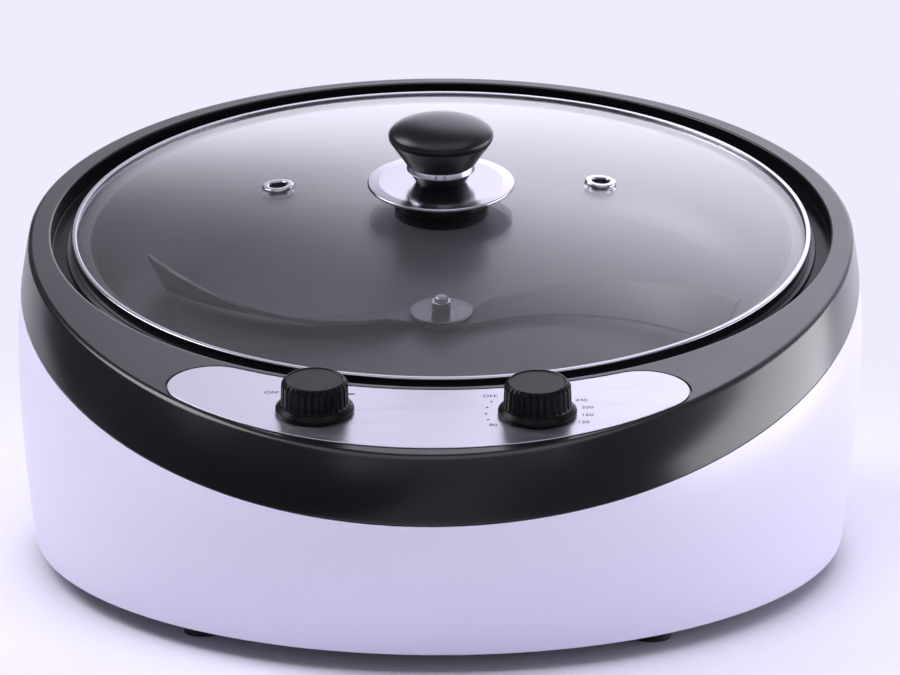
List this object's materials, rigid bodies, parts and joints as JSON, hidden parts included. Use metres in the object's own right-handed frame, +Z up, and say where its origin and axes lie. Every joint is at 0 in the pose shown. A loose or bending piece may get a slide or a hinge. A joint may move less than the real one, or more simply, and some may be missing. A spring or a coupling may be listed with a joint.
{
  "type": "home coffee bean roaster",
  "caption": "Countertop roaster with a tilted round pan, a geared stirring blade, a lift-off glass lid and two front dials.",
  "frame": {"origin": "centre of the part's bounding box, on the plane of the feet's undersides", "axes": "+X to the user's right, +Y to the back, +Z up; the control panel faces -Y"},
  "size_m": [0.3678, 0.42, 0.1914],
  "materials": {
    "white_shell": "gloss",
    "dark_cover": "gloss",
    "panel_steel": "brushed",
    "dial_black": "satin",
    "bright_steel": "polished",
    "plain_steel": "satin",
    "glass": "clear",
    "black_plastic": "satin",
    "pan_coating": "dark non-stick coating",
    "brass": "satin",
    "heater_sheath": "dull",
    "ceramic": "matt",
    "shield_aluminium": "satin",
    "gear_nylon": "satin",
    "rubber": "matt"
  },
  "bodies": {
    "casing": {"lower_shell": "white_shell", "top_cover": "dark_cover", "base_plate": "plain_steel", "control_panel": "panel_steel", "timer_body": "ceramic", "thermostat_body": "ceramic", "roasting_pan": "pan_coating", "shaft_bush": "brass", "heating_element": "heater_sheath", "heater_clips": "plain_steel", "thermal_cutout": "ceramic", "heat_shield": "shield_aluminium", "hanging_posts": "plain_steel", "gearbox_plate": "plain_steel", "gearbox_case": "black_plastic", "gearbox_screws": "plain_steel", "motor_can": "plain_steel", "motor_screws": "plain_steel", "terminal_block": "ceramic", "terminal_screws": "plain_steel", "mains_gland": "black_plastic", "gland_nut": "black_plastic", "foot_front_left": "rubber", "foot_front_right": "rubber", "foot_rear_left": "rubber", "foot_rear_right": "rubber", "foot_screws": "plain_steel", "base_screws": "plain_steel"},
    "lid": {"lid_glass": "glass", "lid_rim": "bright_steel", "lid_collar": "black_plastic", "lid_washer": "black_plastic", "lid_disc": "bright_steel", "lid_knob": "black_plastic", "lid_ferrule": "bright_steel", "lid_screw": "plain_steel", "vent_grommet_left": "bright_steel", "vent_grommet_right": "bright_steel"},
    "stirrer": {"drive_shaft": "plain_steel", "stirrer_blade": "pan_coating", "stirrer_disc": "bright_steel", "stirrer_nut": "bright_steel", "drive_gear": "gear_nylon"},
    "motor_rotor": {"motor_pinion": "brass", "motor_shaft": "plain_steel"},
    "timer_dial": {"timer_knob": "dial_black", "timer_shaft": "plain_steel"},
    "thermostat_dial": {"thermostat_knob": "dial_black", "thermostat_shaft": "plain_steel"}
  },
  "joints": [
    {"name": "lid_lift", "type": "slide", "parent": "casing", "child": "lid", "axis": [0, -0.2164, 0.9763], "range_m": [0, 0.13]},
    {"name": "stirrer_spin", "type": "hinge", "parent": "casing", "child": "stirrer", "pos_m": [0, 0.04242, 0.09613], "axis": [0, -0.2164, 0.9763], "continuous": true},
    {"name": "motor_spin", "type": "hinge", "parent": "casing", "child": "motor_rotor", "pos_m": [0, 0.08492, 0.07073], "axis": [0, -0.2164, 0.9763], "continuous": true},
    {"name": "timer_turn", "type": "hinge", "parent": "casing", "child": "timer_dial", "pos_m": [-0.045, -0.15854, 0.10024], "axis": [0, -0.2164, 0.9763], "range_deg": [-300, 0]},
    {"name": "thermostat_turn", "type": "hinge", "parent": "casing", "child": "thermostat_dial", "pos_m": [0.045, -0.15854, 0.10024], "axis": [0, -0.2164, 0.9763], "range_deg": [-270, 0]}
  ],
  "couplings": [
    {"joint": "motor_spin", "follows": "stirrer_spin", "ratio": -5}
  ]
}
